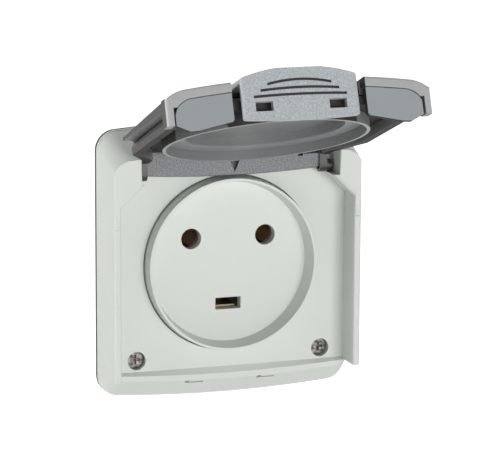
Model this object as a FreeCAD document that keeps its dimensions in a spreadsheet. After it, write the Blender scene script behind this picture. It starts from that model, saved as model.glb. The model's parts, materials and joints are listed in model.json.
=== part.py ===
import FreeCAD, Part
import os
import re
import Sketcher
from FreeCAD import Placement, Rotation, Vector

# An outdoor weatherproof socket: wall gasket, housing, socket insert and sprung-latch lid.
# Origin: the wall face, on the axis of the round socket. X right, Y into the wall, Z up.
# A depth is measured from the wall face towards the user, so y = -depth.
# The lid's pieces are drawn closed, and then turned open about the hinge.

SIZES = {
    # Flange and gasket
    "gasket_thick": 1.6,
    "gasket_web": 4.4,
    "flange_half": 40.5,
    "flange_top": 42.0,
    "flange_bottom": 41.4,
    "flange_bow": 1.4,
    "flange_corner": 6.5,
    "flange_thick": 1.2,
    # Housing fronts
    "panel_depth": 9.1,
    "panel_thick": 2.2,
    "sill_depth": 10.6,
    "rim_depth": 18.9,
    "top_slope": 22.3,
    "skirt_slope": 37.6,
    "slope_reach": 30.0,
    "skirt_inset": 0.25,
    "rim_inset": 0.8,
    "rim_wall": 2.1,
    "rim_end": 33.4,
    "rim_mark": 14.3,
    "rim_mark_wide": 0.3,
    "rim_mark_deep": 0.4,
    "panel_end": 32.7,
    "sill_step_end": 33.3,
    "sill_step_bow": 1.4,
    "cavity_wall": 4.7,
    "cavity_top": 36.0,
    "cavity_end": 32.4,
    "cavity_cut": 2.0,
    "gusset_low": 20.5,
    "gusset_high": 27.4,
    "gusset_wide": 7.1,
    "hinge_block_left": 8.7,
    "hinge_block_right": 7.1,
    "catch_middle": 11.7,
    "catch_long": 6.0,
    "catch_high": 0.45,
    "catch_drop": 0.6,
    "catch_notch": 1.3,
    "catch_notch_high": 1.0,
    # Screws that hold the housing
    "screw_edge": 10.5,
    "screw_drop": 29.3,
    "screw_bore": 5.8,
    "screw_seat_depth": 5.2,
    "screw_head": 5.2,
    "screw_shank": 3.0,
    "screw_hole": 3.4,
    "screw_boss": 8.6,
    "screw_head_thick": 2.0,
    "cross_width": 0.8,
    "cross_span": 3.0,
    # Socket insert
    "collar_depth": 13.6,
    "collar_rim_rad": 27.05,
    "collar_root_rad": 27.6,
    "collar_mouth_rad": 26.2,
    "floor_rad": 25.2,
    "floor_depth": 7.8,
    "floor_skin": 1.2,
    "fit_gap": 0.2,
    "face_flange_rad": 29.6,
    "face_flange_thick": 1.4,
    "seal_thick": 1.0,
    "pin_spacing": 24.0,
    "pin_rise": 7.76,
    "pin_hole": 6.4,
    "earth_drop": 13.24,
    "earth_wide": 8.2,
    "earth_high": 3.66,
    # Carrier plate and its slots to the wall box
    "carrier_thick": 1.5,
    "carrier_gap": 0.5,
    "carrier_cut": 3.0,
    "box_spacing": 60.0,
    "box_slot_long": 7.0,
    "box_slot_wide": 4.2,
    # Contact block
    "block_rad": 24.0,
    "block_flange_rad": 26.0,
    "block_back": 20.0,
    "cover_thick": 2.0,
    "cover_half": 22.0,
    "cover_cut": 13.0,
    "cover_gap": 0.05,
    "contact_gap": 0.6,
    "terminal_side": 8.0,
    "terminal_room": 8.6,
    "terminal_long": 8.6,
    "wire_hole": 3.2,
    "terminal_thread": 3.0,
    "terminal_head": 4.4,
    "terminal_head_thick": 1.4,
    "terminal_screw_reach": 2.6,
    "driver_slot": 0.6,
    "sleeve_out_rad": 3.9,
    "sleeve_in_rad": 3.1,
    "sleeve_long": 13.6,
    "sleeve_slit": 1.0,
    "blade_thick": 0.7,
    "blade_gap": 2.6,
    "blade_wide": 7.0,
    "block_screw_x": 15.5,
    "block_screw_drop": 14.0,
    "block_screw": 2.8,
    "block_screw_head": 5.0,
    "block_screw_head_thick": 1.8,
    # Hinge
    "axis_depth": 12.1,
    "axis_height": 29.4,
    "open_angle": 110.4,
    "hinge_pin": 2.0,
    "hinge_play": 0.05,
    "hinge_pin_lead": 0.1,
    "hinge_pin_cover": 2.9,
    "knuckle_rad": 1.9,
    "knuckle_gap": 0.8,
    "hinge_wall_gap": 2.7,
    "hinge_wall_face": 0.53,
    "hinge_wall_back": 2.77,
    "hinge_wall_reach": 1.4,
    "hinge_wall_rise": 1.3,
    "notch_place": 0.5,
    "notch_half": 1.9,
    "notch_tip": 11.5,
    "notch_top": 15.7,
    "notch_level": 29.9,
    "ledge_start": 21.0,
    "ledge_notch": 1.6,
    "ledge_depth": 15.7,
    "ledge_level": 28.9,
    # Lid shell
    "lid_end": 38.3,
    "lid_back": 32.5,
    "lip_depth": 19.2,
    "lip_over": 0.0,
    "lip_back": 9.5,
    "lid_neck_flare": 0.3,
    "lid_neck_back": 21.0,
    "lid_gap": 0.6,
    "shell_end_side": 22.0,
    "shell_end_shoulder": 24.6,
    "shell_end_crown": 2.1,
    "shell_slope": 2.1,
    "hinge_wall_top": 19.4,
    "shoulder_x": 33.0,
    "shoulder_sag": 0.55,
    "hollow_side": 16.75,
    "hollow_shoulder": 20.15,
    "hollow_slope": 1.3,
    "end_trim": 2.0,
    "end_inset": 0.3,
    "side_wall": 2.3,
    "leg_in": 37.95,
    "leg_out": 40.1,
    "leg_depth": 13.9,
    "leg_top": 33.8,
    # Lid liner
    "liner_gap": 0.15,
    "liner_back": 25.2,
    "liner_edge": 14.8,
    "liner_wall": 2.4,
    "liner_ceiling": 18.0,
    "end_edge_mid": 14.4,
    "end_edge_low": 12.1,
    "end_edge_side": 13.9,
    "end_wall": 2.0,
    "ring_drop": 4.8,
    "ring_rad": 29.8,
    "ring_wall": 1.1,
    "ring_edge": 14.4,
    "well_rad": 23.7,
    "well_depth": 20.6,
    "lid_seal_depth": 17.2,
    "lid_seal_gap": 0.2,
    # Latch
    "latch_half": 17.7,
    "latch_slot_half": 20.2,
    "latch_slot_top": 21.5,
    "latch_end": 38.9,
    "latch_plate": 2.0,
    "latch_edge": 14.6,
    "latch_side": 26.7,
    "latch_crown": 2.9,
    "latch_tongue_top": 23.0,
    "latch_tongue_thick": 2.2,
    "window_middle": 11.15,
    "window_wide": 5.3,
    "window_low": 16.8,
    "window_high": 19.6,
    "latch_axis_depth": 23.0,
    "latch_axis_drop": 32.0,
    "latch_pin": 1.6,
    "latch_knuckle_rad": 1.7,
    "latch_pin_half": 21.6,
    "latch_ear_wide": 2.0,
    "latch_play": 0.05,
    "groove_deep": 0.7,
    "groove_wide": 0.75,
    "groove_top": 24.9,
    "groove_top_bow": 1.15,
    "groove_top_half": 9.7,
    "groove_step": 1.75,
    "groove_grow": 2.2,
}

doc = FreeCAD.newDocument("weatherproof_socket")
sheet = doc.addObject("Spreadsheet::Sheet", "sizes")
for line, (alias, size) in enumerate(SIZES.items(), 1):
    sheet.set(f"A{line}", alias)
    sheet.set(f"B{line}", str(size))
    sheet.setAlias(f"B{line}", alias)
doc.recompute()

nodes = []


def bound(text):
    """A formula in bare names, with each name tied to its cell."""
    return re.sub(r"[a-z_]+", lambda word: f"sizes.{word[0]}" if word[0] in SIZES else word[0], str(text))


def value(text):
    """What such a formula comes to now."""
    return float(sheet.evalExpression(bound(text)))


def new_body(label):
    """A sub-part with its own label."""
    body = doc.addObject("PartDesign::Body", label)
    body.Label = label
    nodes.append(body)
    return body


def origin_plane(body, role):
    """One of the sub-part's own origin planes."""
    return [plane for plane in body.Origin.OriginFeatures if plane.Role == role][0]


def new_sketch(body, role, level):
    """An empty sketch on an origin plane, moved along the plane's normal."""
    sketch = body.newObject("Sketcher::SketchObject", body.Label + "_outline")
    sketch.AttachmentSupport = [(origin_plane(body, role), "")]
    sketch.MapMode = "FlatFace"
    sketch.setExpression("AttachmentOffset.Base.z", bound(level))
    return sketch


def lean(sketch, angle, start):
    """Turn a sketch about its own X direction, and start it further back along its normal."""
    sketch.setExpression("AttachmentOffset.Rotation.Roll", bound(angle))
    sketch.setExpression("AttachmentOffset.Base.y", bound(f"-({start}) * sin({angle} * 1deg)"))
    sketch.setExpression("AttachmentOffset.Base.z", bound(f"({start}) * cos({angle} * 1deg)"))


def arc_middle(start, end, sag):
    """The middle point of an arc that bows by sag to the right of its chord."""
    chord = end - start
    right = Vector(chord.y, -chord.x, 0).normalize()
    return (start + end) * 0.5 + right * sag


def draw_loop(sketch, corners):
    """A closed loop. A corner is (u, v), or (u, v, sag) where an arc runs on to the next one."""
    first = sketch.GeometryCount
    points = [Vector(value(corner[0]), value(corner[1]), 0) for corner in corners]
    for index, corner in enumerate(corners):
        start = points[index]
        end = points[(index + 1) % len(points)]
        if len(corner) == 3:
            middle = arc_middle(start, end, value(corner[2]))
            sketch.addGeometry(Part.Arc(start, middle, end))
        else:
            sketch.addGeometry(Part.LineSegment(start, end))
    count = len(corners)
    for index, corner in enumerate(corners):
        following = corners[(index + 1) % count]
        line = first + index
        start_pole, end_pole = (1, 2)
        if len(corner) == 3 and value(corner[2]) < 0:
            start_pole, end_pole = (2, 1)
        for kind, side in (("DistanceX", 0), ("DistanceY", 1)):
            place = points[index][side]
            added = sketch.addConstraint(Sketcher.Constraint(kind, -1, 1, line, start_pole, place))
            sketch.setExpression(f"Constraints[{added}]", bound(corner[side]))
            place = points[(index + 1) % count][side]
            added = sketch.addConstraint(Sketcher.Constraint(kind, -1, 1, line, end_pole, place))
            sketch.setExpression(f"Constraints[{added}]", bound(following[side]))
        if len(corner) == 3:
            chord = f"(({following[0]} - ({corner[0]}))^2 + ({following[1]} - ({corner[1]}))^2)"
            formula = f"abs(({chord} / 4 + ({corner[2]})^2) / (2 * ({corner[2]})))"
            added = sketch.addConstraint(Sketcher.Constraint("Radius", line, value(formula)))
            sketch.setExpression(f"Constraints[{added}]", bound(formula))


def draw_circle(sketch, across, along, radius):
    """A full circle."""
    centre = Vector(value(across), value(along), 0)
    circle = sketch.addGeometry(Part.Circle(centre, Vector(0, 0, 1), value(radius)))
    for kind, text, size in (("DistanceX", across, centre.x), ("DistanceY", along, centre.y)):
        added = sketch.addConstraint(Sketcher.Constraint(kind, -1, 1, circle, 3, size))
        sketch.setExpression(f"Constraints[{added}]", bound(text))
    added = sketch.addConstraint(Sketcher.Constraint("Radius", circle, value(radius)))
    sketch.setExpression(f"Constraints[{added}]", bound(radius))


def box_corners(left, right, low, high):
    """The four corners of a rectangle."""
    return [(left, low), (right, low), (right, high), (left, high)]


def pad(body, sketch, length):
    """Material along the sketch's normal."""
    feature = body.newObject("PartDesign::Pad", body.Label + "_pad")
    feature.Profile = sketch
    feature.setExpression("Length", bound(length))
    doc.recompute()
    return feature


def pocket(body, sketch, length):
    """A cut against the sketch's normal, which has to take something away."""
    before = body.Shape.Volume
    feature = body.newObject("PartDesign::Pocket", body.Label + "_pocket")
    feature.Profile = sketch
    feature.setExpression("Length", bound(length))
    doc.recompute()
    if not body.Shape.Volume < before:
        raise ValueError(f"{feature.Label} cuts nothing")
    return feature


def loft(body, kind, sections):
    """A straight loft through two sections, added or cut away."""
    feature = body.newObject(kind, body.Label + "_loft")
    feature.Profile = sections[0]
    feature.Sections = sections[1:]
    feature.Ruled = True
    doc.recompute()
    return feature


def front_pad(body, corners, back, front):
    """A prism between two depths, drawn as seen from the front."""
    sketch = new_sketch(body, "XZ_Plane", back)
    draw_loop(sketch, corners)
    return pad(body, sketch, f"{front} - ({back})")


def front_pocket(body, corners, back, front):
    """A cut between two depths, drawn as seen from the front."""
    sketch = new_sketch(body, "XZ_Plane", front)
    draw_loop(sketch, corners)
    return pocket(body, sketch, f"{front} - ({back})")


def round_pad(body, across, up, radius, back, front):
    """A round post between two depths."""
    sketch = new_sketch(body, "XZ_Plane", back)
    draw_circle(sketch, across, up, radius)
    return pad(body, sketch, f"{front} - ({back})")


def round_pocket(body, across, up, radius, back, front):
    """A round hole between two depths."""
    sketch = new_sketch(body, "XZ_Plane", front)
    draw_circle(sketch, across, up, radius)
    return pocket(body, sketch, f"{front} - ({back})")


def side_pad(body, corners, left, right):
    """A prism between two x places, drawn in the Y and Z axes."""
    sketch = new_sketch(body, "YZ_Plane", left)
    draw_loop(sketch, corners)
    return pad(body, sketch, f"{right} - ({left})")


def side_pocket(body, corners, left, right):
    """A cut between two x places, drawn in the Y and Z axes."""
    sketch = new_sketch(body, "YZ_Plane", right)
    draw_loop(sketch, corners)
    return pocket(body, sketch, f"{right} - ({left})")


def rod_pad(body, depth, up, radius, left, right):
    """A round rod along X."""
    sketch = new_sketch(body, "YZ_Plane", left)
    draw_circle(sketch, f"-({depth})", up, radius)
    return pad(body, sketch, f"{right} - ({left})")


def rod_pocket(body, depth, up, radius, left, right):
    """A round hole along X."""
    sketch = new_sketch(body, "YZ_Plane", right)
    draw_circle(sketch, f"-({depth})", up, radius)
    return pocket(body, sketch, f"{right} - ({left})")


def lathe(body, corners, kind="PartDesign::Revolution", centre="0"):
    """A turned form about the Y direction, drawn as (radius, depth)."""
    sketch = new_sketch(body, "XY_Plane", centre)
    draw_loop(sketch, [(corner[0], f"-({corner[1]})") for corner in corners])
    feature = body.newObject(kind, body.Label + "_lathe")
    feature.Profile = sketch
    feature.ReferenceAxis = (sketch, ["V_Axis"])
    feature.Angle = 360
    doc.recompute()
    return feature


def mirror(body, features):
    """The same features on the other side of the middle plane."""
    feature = body.newObject("PartDesign::Mirrored", body.Label + "_mirror")
    feature.Originals = features
    feature.MirrorPlane = (origin_plane(body, "YZ_Plane"), [""])
    body.Tip = feature
    doc.recompute()
    return feature


def bowed_outline(half, top, bottom, bow_top, bow_bottom, corner):
    """A rounded rectangle whose top and bottom edges bow outwards."""
    inner = f"({half} - {corner})"
    round_sag = f"{corner} * (1 - sqrt(0.5))"
    return [
        (f"-{inner}", f"-({bottom})", bow_bottom),
        (inner, f"-({bottom})", round_sag),
        (half, f"-({bottom}) + {corner}"),
        (half, f"{top} - {corner}", round_sag),
        (inner, top, bow_top),
        (f"-{inner}", top, round_sag),
        (f"-({half})", f"{top} - {corner}"),
        (f"-({half})", f"-({bottom}) + {corner}", round_sag),
    ]


FACE_BACK = "(panel_depth - panel_thick - seal_thick - face_flange_thick)"
BLOCK_FRONT = f"({FACE_BACK} - fit_gap)"
CONTACT_FRONT = f"({BLOCK_FRONT} - contact_gap)"
CONTACT_BASE = f"({CONTACT_FRONT} - sleeve_long)"
TERMINAL_BACK = f"({CONTACT_BASE} - terminal_long)"
TERMINAL_PLACES = [("pin_spacing / 2", "pin_rise"), ("-pin_spacing / 2", "pin_rise"), ("0", "-earth_drop")]
SCREW_ACROSS = "(flange_half - screw_edge)"
RIM_HALF = "(flange_half - rim_inset)"
RECESS_HALF = "(flange_half - rim_inset - rim_wall)"
GUSSET_REACH = f"({RECESS_HALF} - gusset_wide)"
HINGE_LEFT = f"({RIM_HALF} - hinge_block_left)"
HINGE_RIGHT = f"({RIM_HALF} - hinge_block_right)"
HINGE_WALL = f"({HINGE_LEFT} - hinge_wall_gap)"
LIP_HALF = f"({RIM_HALF} + lip_over)"
LID_NECK_TOP = f"({HINGE_LEFT} - lid_gap)"
LID_NECK = f"({LID_NECK_TOP} + lid_neck_flare)"
FLANGE_FRONT = "(gasket_thick + flange_thick)"
FAR = "(flange_half * 2)"
FLANGE = bowed_outline("flange_half", "flange_top", "flange_bottom", "flange_bow", "flange_bow",
                       "flange_corner")


def wall_gasket():
    """The dark seal between the flange and the wall."""
    body = new_body("wall_gasket")
    front_pad(body, FLANGE, "0", "gasket_thick")
    inner = "(flange_half - gasket_web)"
    window = box_corners(f"-{inner}", inner, "-(flange_bottom - gasket_web)",
                         "flange_top - gasket_web")
    front_pocket(body, window, "0", "gasket_thick")


def housing():
    """The moulded frame: flange, sloping skirt, panel, side rims, corner blocks and sill."""
    body = new_body("housing")
    housing_skirt(body)
    housing_top(body)
    front_pad(body, box_corners("-flange_half", "flange_half", "-rim_end", "gusset_low"), "panel_depth",
              "rim_depth")
    front_pocket(body, box_corners(f"-{FAR}", FAR, f"-{FAR}", FAR), "rim_depth",
                 "rim_depth + slope_reach * 2")
    front_pocket(body, box_corners(f"-{FAR}", FAR, f"-{FAR}", FAR), "-slope_reach * 2", FLANGE_FRONT)
    front_pad(body, FLANGE, "gasket_thick", FLANGE_FRONT)
    housing_sides(body)
    housing_recess(body)
    housing_inside(body)
    housing_screw_holes(body)
    housing_catches(body)
    housing_marks(body)


def slanted_half(edge, slope, middle):
    """One half of the flange's outline as seen along a slope, and the height of its edge."""
    level = f"(({edge} - skirt_inset) * cos({slope} * 1deg) + {FLANGE_FRONT} * sin({slope} * 1deg))"
    round_sag = "flange_corner * (1 - sqrt(0.5))"
    return [
        ("-flange_half", middle),
        ("flange_half", middle),
        ("flange_half", f"{level} - flange_corner", round_sag),
        ("flange_half - flange_corner", level, f"flange_bow * cos({slope} * 1deg)"),
        ("-(flange_half - flange_corner)", level, round_sag),
        ("-flange_half", f"{level} - flange_corner"),
    ]


def housing_skirt(body):
    """The lower half, whose bottom slopes up to the sill."""
    corners = slanted_half("flange_bottom", "skirt_slope", "0")
    turned = [(f"-({corner[0]})", f"-({corner[1]})", *corner[2:]) for corner in corners]
    sketch = new_sketch(body, "XZ_Plane", "0")
    lean(sketch, "-skirt_slope", "-slope_reach")
    draw_loop(sketch, turned)
    pad(body, sketch, "slope_reach * 2")
    front_pocket(body, box_corners(f"-{FAR}", FAR, f"-{FAR}", FAR), "sill_depth",
                 "sill_depth + slope_reach * 3")


def housing_top(body):
    """The upper half, which slopes down to the front of the hinge corners."""
    sketch = new_sketch(body, "XZ_Plane", "0")
    lean(sketch, "top_slope", "-slope_reach")
    draw_loop(sketch, slanted_half("flange_top", "top_slope", "0"))
    pad(body, sketch, "slope_reach * 2")


def housing_sides(body):
    """The sides draw in from the flange to the rims."""
    for side in ("", "-"):
        sketch = new_sketch(body, "XY_Plane", FAR)
        draw_loop(sketch, [
            (f"{side}flange_half", f"-{FLANGE_FRONT}"),
            (f"{side}{RIM_HALF}", "-rim_depth"),
            (f"{side}{RIM_HALF}", "-(rim_depth + 1)"),
            (f"{side}(flange_half + 1)", "-(rim_depth + 1)"),
            (f"{side}(flange_half + 1)", f"-{FLANGE_FRONT}"),
        ])
        pocket(body, sketch, f"{FAR} * 2")


def housing_recess(body):
    """The recess between the rims, open at the bottom and between the hinge corners."""
    above = "(flange_top + flange_bow + 1)"
    below = "(flange_bottom + flange_bow + 1)"
    front_pocket(body, [
        (f"-{RECESS_HALF}", f"-{below}"),
        (RECESS_HALF, f"-{below}"),
        (RECESS_HALF, "gusset_low"),
        (GUSSET_REACH, "gusset_high"),
        (HINGE_RIGHT, "gusset_high"),
        (HINGE_RIGHT, above),
        (f"-{HINGE_LEFT}", above),
        (f"-{HINGE_LEFT}", "gusset_high"),
        (f"-{GUSSET_REACH}", "gusset_high"),
        (f"-{RECESS_HALF}", "gusset_low"),
    ], "sill_depth", "rim_depth + 1")
    low = new_sketch(body, "XZ_Plane", "panel_depth")
    high = new_sketch(body, "XZ_Plane", "sill_depth + 0.01")
    for sketch, end, bow in ((low, "panel_end", "0.2"), (high, "sill_step_end", "sill_step_bow")):
        draw_loop(sketch, [
            (f"-{RECESS_HALF}", f"-{end}", bow),
            (RECESS_HALF, f"-{end}"),
            (RECESS_HALF, "gusset_low"),
            (GUSSET_REACH, "gusset_high"),
            (HINGE_RIGHT, "gusset_high"),
            (HINGE_RIGHT, above),
            (f"-{HINGE_LEFT}", above),
            (f"-{HINGE_LEFT}", "gusset_high"),
            (f"-{GUSSET_REACH}", "gusset_high"),
            (f"-{RECESS_HALF}", "gusset_low"),
        ])
    loft(body, "PartDesign::SubtractiveLoft", [low, high])


def housing_inside(body):
    """The hollow behind the panel and the round opening for the socket insert."""
    half = "(flange_half - cavity_wall)"
    hollow = [
        (f"-{half} + cavity_cut", "-cavity_end"),
        (f"{half} - cavity_cut", "-cavity_end"),
        (half, "-cavity_end + cavity_cut"),
        (half, "cavity_top - cavity_cut"),
        (f"{half} - cavity_cut", "cavity_top"),
        (f"-{half} + cavity_cut", "cavity_top"),
        (f"-{half}", "cavity_top - cavity_cut"),
        (f"-{half}", "-cavity_end + cavity_cut"),
    ]
    front_pocket(body, hollow, "gasket_thick - 1", "panel_depth - panel_thick")
    round_pocket(body, "0", "0", "collar_root_rad + fit_gap", "0", "rim_depth")


def housing_screw_holes(body):
    """A boss, a deep counterbore and a clearance hole for each cover screw."""
    across = SCREW_ACROSS
    features = [
        round_pad(body, across, "-screw_drop", "screw_boss / 2", "gasket_thick + 0.1",
                  "panel_depth - panel_thick / 2"),
    ]
    mirror(body, features)
    for side in ("", "-"):
        round_pocket(body, f"{side}{across}", "-screw_drop", "screw_bore / 2", "screw_seat_depth",
                     "panel_depth + 1")
        round_pocket(body, f"{side}{across}", "-screw_drop", "screw_hole / 2", "0", "panel_depth")


def housing_catches(body):
    """The two catch slots along the sill's lower edge, each with a notch at its left end."""
    level = f"-(flange_bottom - (sill_depth - {FLANGE_FRONT}) * tan(skirt_slope * 1deg) + flange_bow)"
    for side in ("", "-"):
        left = f"({side}catch_middle - catch_long / 2)"
        low = f"({level} - catch_drop)"
        for right, high in (("catch_long", "catch_high"), ("catch_notch", "catch_notch_high")):
            front_pocket(body, box_corners(left, f"{left} + {right}", low, f"{low} + {high}"),
                         "panel_depth", "sill_depth + 1")


def housing_marks(body):
    """A fine step line across each rim."""
    for low, high in ((RECESS_HALF, "flange_half"), ("-flange_half", f"-{RECESS_HALF}")):
        front_pocket(body, box_corners(low, high, "rim_mark - rim_mark_wide / 2",
                                       "rim_mark + rim_mark_wide / 2"),
                     "rim_depth - rim_mark_deep", "rim_depth + 1")


def hinge_holes(body):
    """The holes in the hinge corners that the pins are pressed into."""
    end = f"({RIM_HALF} - hinge_pin_cover)"
    rod_pocket(body, "axis_depth", "axis_height", "hinge_pin / 2", f"{HINGE_RIGHT} - 1", end)
    rod_pocket(body, "axis_depth", "axis_height", "hinge_pin / 2", f"-{end}", f"-{HINGE_LEFT} + 1")


def hinge_pins():
    """Two steel pins, one in each hinge corner."""
    body = new_body("hinge_pins")
    right = rod_pad(body, "axis_depth", "axis_height", "hinge_pin / 2",
                    f"{HINGE_WALL} + hinge_pin_lead", f"{RIM_HALF} - hinge_pin_cover")
    mirror(body, [right])


def socket_face():
    """The round insert: collar, floor and hidden flange, turned and then pierced."""
    body = new_body("socket_face")
    lathe(body, [
        ("0", FACE_BACK),
        ("face_flange_rad", FACE_BACK),
        ("face_flange_rad", f"{FACE_BACK} + face_flange_thick"),
        ("collar_root_rad", f"{FACE_BACK} + face_flange_thick"),
        ("collar_rim_rad", "collar_depth"),
        ("collar_mouth_rad", "collar_depth"),
        ("floor_rad", "floor_depth"),
        ("0", "floor_depth"),
    ])
    for side in ("", "-"):
        round_pocket(body, f"{side}pin_spacing / 2", "pin_rise", "pin_hole / 2",
                     f"{FACE_BACK} - 1", "floor_depth + 1")
        round_pocket(body, f"{side}block_screw_x", "-block_screw_drop", "block_screw / 2",
                     f"{FACE_BACK} - 1", "floor_depth - floor_skin")
    front_pocket(body, box_corners("-earth_wide / 2", "earth_wide / 2",
                                   "-earth_drop - earth_high / 2", "-earth_drop + earth_high / 2"),
                 f"{FACE_BACK} - 1", "floor_depth + 1")


def face_seal():
    """The rubber ring between the insert's flange and the back of the panel."""
    body = new_body("face_seal")
    back = "(panel_depth - panel_thick - seal_thick)"
    lathe(body, [
        ("collar_root_rad + fit_gap", back),
        ("face_flange_rad", back),
        ("face_flange_rad", f"{back} + seal_thick"),
        ("collar_root_rad + fit_gap", f"{back} + seal_thick"),
    ])


def cut_square(half, cut):
    """A square with its corners cut off."""
    inner = f"({half} - {cut})"
    return [(f"-{inner}", f"-{half}"), (inner, f"-{half}"), (half, f"-{inner}"), (half, inner),
            (inner, half), (f"-{inner}", half), (f"-{half}", inner), (f"-{half}", f"-{inner}")]


def carrier():
    """The steel plate that is screwed to the wall box and carries the rest."""
    body = new_body("carrier")
    front_pad(body, cut_square("(flange_half - gasket_web - carrier_gap)", "carrier_cut"), "0",
              "carrier_thick")
    round_pocket(body, "0", "0", "block_rad + fit_gap", "-1", "carrier_thick + 1")
    reach = "(box_slot_long - box_slot_wide) / 2"
    for side in ("", "-"):
        across = f"{side}box_spacing / 2"
        front_pocket(body, box_corners(f"{across} - {reach}", f"{across} + {reach}",
                                       "-box_slot_wide / 2", "box_slot_wide / 2"),
                     "-1", "carrier_thick + 1")
        for end in ("-", "+"):
            round_pocket(body, f"{across} {end} {reach}", "0", "box_slot_wide / 2", "-1",
                         "carrier_thick + 1")
        round_pocket(body, f"{side}{SCREW_ACROSS}", "-screw_drop", "screw_shank / 2", "-1",
                     "carrier_thick + 1")


def cross_recess(body, across, up, depth, deep):
    """A cross cut into a screw head whose face lies at the given depth."""
    for wide, high in (("cross_span", "cross_width"), ("cross_width", "cross_span")):
        front_pocket(body, box_corners(f"{across} - {wide} / 2", f"{across} + {wide} / 2",
                                       f"{up} - {high} / 2", f"{up} + {high} / 2"),
                     f"{depth} - {deep}", f"{depth} + 1")


def cover_screws():
    """The two screws that hold the housing to the carrier."""
    body = new_body("cover_screws")
    across = SCREW_ACROSS
    face = "(screw_seat_depth + screw_head_thick)"
    features = [
        round_pad(body, across, "-screw_drop", "screw_shank / 2", "-4", "screw_seat_depth"),
        round_pad(body, across, "-screw_drop", "screw_head / 2", "screw_seat_depth", face),
    ]
    mirror(body, features)
    for side in ("", "-"):
        cross_recess(body, f"{side}{across}", "-screw_drop", face, "1.2")


def contact_block():
    """The moulding behind the insert, with an open chamber for each contact and its terminal."""
    body = new_body("contact_block")
    flange_back = "(carrier_thick + 0.1)"
    lathe(body, [
        ("0", "-block_back"),
        ("block_rad", "-block_back"),
        ("block_rad", flange_back),
        ("block_flange_rad", flange_back),
        ("block_flange_rad", BLOCK_FRONT),
        ("0", BLOCK_FRONT),
    ])
    for across, up in TERMINAL_PLACES:
        outwards = "-" if up.startswith("-") else ""
        front_pocket(body, box_corners(f"{across} - terminal_room / 2", f"{across} + terminal_room / 2",
                                       f"{up} - {outwards}terminal_room / 2", f"{outwards}{FAR}"),
                     "-block_back - 1", f"{BLOCK_FRONT} + 1")
    for side in ("", "-"):
        round_pocket(body, f"{side}block_screw_x", "-block_screw_drop",
                     "block_screw / 2 + fit_gap", "-block_back - 1", f"{BLOCK_FRONT} + 1")


def pin_contact(label, side):
    """A slit brass sleeve that grips a round plug pin, with a closed base."""
    body = new_body(label)
    across = f"{side}pin_spacing / 2"
    front = CONTACT_FRONT
    base = CONTACT_BASE
    round_pad(body, across, "pin_rise", "sleeve_out_rad", base, front)
    round_pocket(body, across, "pin_rise", "sleeve_in_rad", f"{base} + 1.2", f"{front} + 1")
    front_pocket(body, box_corners(f"{across} - sleeve_slit / 2", f"{across} + sleeve_slit / 2",
                                   "pin_rise - sleeve_out_rad - 1",
                                   "pin_rise + sleeve_out_rad + 1"),
                 f"{base} + 3", f"{front} + 1")


def earth_contact():
    """Two brass blades joined by a base, which grip the flat earth pin."""
    body = new_body("earth_contact")
    front = CONTACT_FRONT
    base = CONTACT_BASE
    half_high = "(blade_gap / 2 + blade_thick)"
    front_pad(body, box_corners("-blade_wide / 2", "blade_wide / 2",
                                f"-earth_drop - {half_high}", f"-earth_drop + {half_high}"),
              base, front)
    front_pocket(body, box_corners("-blade_wide / 2 - 1", "blade_wide / 2 + 1",
                                   "-earth_drop - blade_gap / 2", "-earth_drop + blade_gap / 2"),
                 f"{base} + 1", f"{front} + 1")


def terminal(label, across, up):
    """A brass terminal block with a wire slot and a tapped hole for its screw."""
    body = new_body(label)
    front_pad(body, box_corners(f"{across} - terminal_side / 2", f"{across} + terminal_side / 2",
                                f"{up} - terminal_side / 2", f"{up} + terminal_side / 2"),
              TERMINAL_BACK, CONTACT_BASE)
    round_pocket(body, across, up, "terminal_thread / 2", f"{TERMINAL_BACK} - 1",
                 f"{CONTACT_BASE} - terminal_thread / 2")
    middle = f"({TERMINAL_BACK} + terminal_long / 2)"
    side_pocket(body, box_corners(f"-({middle} + wire_hole / 2)", f"-({middle} - wire_hole / 2)",
                                  f"{up} - wire_hole / 2", f"{up} + wire_hole / 2"),
                f"{across} - terminal_side", f"{across} + terminal_side")


def terminal_screws():
    """The three slotted screws that clamp the wires."""
    body = new_body("terminal_screws")
    head = f"({TERMINAL_BACK} - terminal_head_thick)"
    for across, up in TERMINAL_PLACES:
        round_pad(body, across, up, "terminal_thread / 2", TERMINAL_BACK,
                  f"{TERMINAL_BACK} + terminal_screw_reach")
        round_pad(body, across, up, "terminal_head / 2", head, TERMINAL_BACK)
        front_pocket(body, box_corners(f"{across} - terminal_head", f"{across} + terminal_head",
                                       f"{up} - driver_slot / 2", f"{up} + driver_slot / 2"),
                     f"{head} - 1", f"{head} + driver_slot")


def back_cover():
    """The plate that closes the block's rear, with access to the terminal screws."""
    body = new_body("back_cover")
    front = "(-block_back - cover_gap)"
    front_pad(body, cut_square("cover_half", "cover_cut"), f"{front} - cover_thick", front)
    for across, up in TERMINAL_PLACES:
        front_pocket(body, box_corners(f"{across} - terminal_head / 2 - fit_gap",
                                       f"{across} + terminal_head / 2 + fit_gap",
                                       f"{up} - terminal_head / 2 - fit_gap",
                                       f"{up} + terminal_head / 2 + fit_gap"),
                     f"{front} - cover_thick - 1", f"{front} + 1")
    for side in ("", "-"):
        round_pocket(body, f"{side}block_screw_x", "-block_screw_drop",
                     "block_screw / 2 + fit_gap", f"{front} - cover_thick - 1", f"{front} + 1")


def block_screws():
    """The two long screws that hold the back cover and block to the insert."""
    body = new_body("block_screws")
    seat = "(-block_back - cover_gap - cover_thick)"
    features = [
        round_pad(body, "block_screw_x", "-block_screw_drop", "block_screw / 2", seat,
                  "floor_depth - floor_skin"),
        round_pad(body, "block_screw_x", "-block_screw_drop", "block_screw_head / 2",
                  f"{seat} - block_screw_head_thick", seat),
    ]
    mirror(body, features)


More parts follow.
